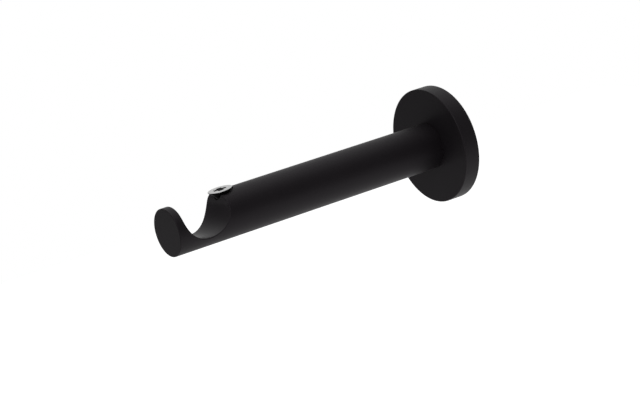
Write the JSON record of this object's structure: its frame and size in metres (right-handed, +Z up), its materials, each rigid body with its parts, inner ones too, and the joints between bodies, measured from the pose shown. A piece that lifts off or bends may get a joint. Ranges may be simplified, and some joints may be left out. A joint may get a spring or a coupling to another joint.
{
  "type": "curtain pole bracket",
  "caption": "Wall bracket for a round curtain pole: a round arm with an open cradle and a clamp screw, on a round rosette.",
  "frame": {"origin": "centre of the face that lies on the wall", "axes": "+Y into the wall, so the arm runs along -Y; X along the pole; +Z up, out of the open cradle"},
  "size_m": [0.05, 0.14, 0.05],
  "materials": {
    "black_powder_coat": "matt black powder coat on steel",
    "zinc_plated_plate": "zinc plated steel",
    "bright_zinc_screw": "bright zinc plated steel",
    "black_oxide_steel": "black oxide steel"
  },
  "bodies": {
    "root": {"arm": "black_powder_coat", "rosette": "black_powder_coat", "wall_plate": "zinc_plated_plate", "arm_bolt": "black_oxide_steel", "clamp_screw": "bright_zinc_screw", "grub_screw": "black_oxide_steel"}
  },
  "joints": []
}
